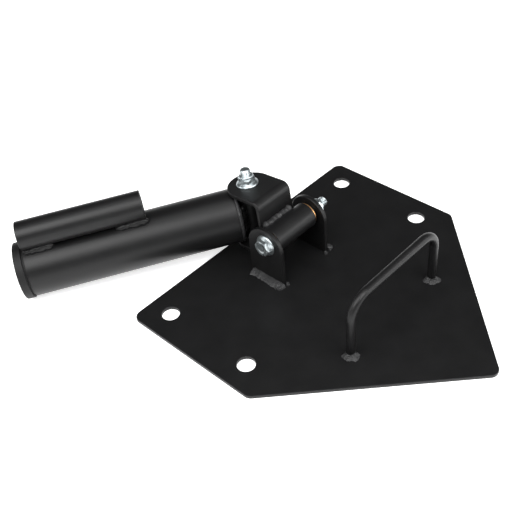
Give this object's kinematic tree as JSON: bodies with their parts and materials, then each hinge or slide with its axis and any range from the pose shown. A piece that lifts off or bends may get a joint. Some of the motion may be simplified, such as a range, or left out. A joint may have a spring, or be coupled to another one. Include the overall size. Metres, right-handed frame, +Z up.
{
  "type": "barbell pivot attachment",
  "caption": "Floor plate with a clevis, a tipping fork and a swivelling bar sleeve that holds one end of a barbell; a smaller tube on the sleeve takes a one inch bar.",
  "frame": {"origin": "centre of the floor-hole pattern, on the underside of the base plate", "axes": "+X towards the plate's point, +Y along the pivot bolt from its head to its nut, +Z up"},
  "size_m": [0.5034, 0.4274, 0.109],
  "materials": {
    "black_coat": "fine textured satin black powder coat on steel",
    "zinc_hardware": "bright zinc plated steel",
    "bronze_bush": "sintered bronze, satin"
  },
  "bodies": {
    "base": {"base_plate": "black_coat", "near_ear": "black_coat", "far_ear": "black_coat", "near_ear_weld": "black_coat", "far_ear_weld": "black_coat", "carry_handle": "black_coat", "handle_near_weld": "black_coat", "handle_far_weld": "black_coat", "pivot_bolt": "zinc_hardware", "pivot_nut": "zinc_hardware"},
    "tilt_fork": {"pivot_tube": "black_coat", "near_bush": "bronze_bush", "far_bush": "bronze_bush", "fork": "black_coat", "fork_welds": "black_coat", "swivel_bolt": "zinc_hardware", "swivel_nut": "zinc_hardware"},
    "swivel_sleeve": {"swivel_tube": "black_coat", "upper_bush": "bronze_bush", "lower_bush": "bronze_bush", "end_plate": "black_coat", "end_plate_weld": "black_coat", "swivel_tube_welds": "black_coat", "bar_sleeve": "black_coat", "mouth_collar": "black_coat", "small_tube": "black_coat", "small_tube_front_welds": "black_coat", "small_tube_back_welds": "black_coat"}
  },
  "joints": [
    {"name": "lift", "type": "hinge", "parent": "base", "child": "tilt_fork", "pos_m": [-0.0105, -0.003, 0.054], "axis": [0, 1, 0], "range_deg": [0, 140]},
    {"name": "swivel", "type": "hinge", "parent": "tilt_fork", "child": "swivel_sleeve", "pos_m": [-0.06608, -0.003, 0.05136], "axis": [-0.1191, 0, 0.9929], "range_deg": [-136, 24]}
  ]
}
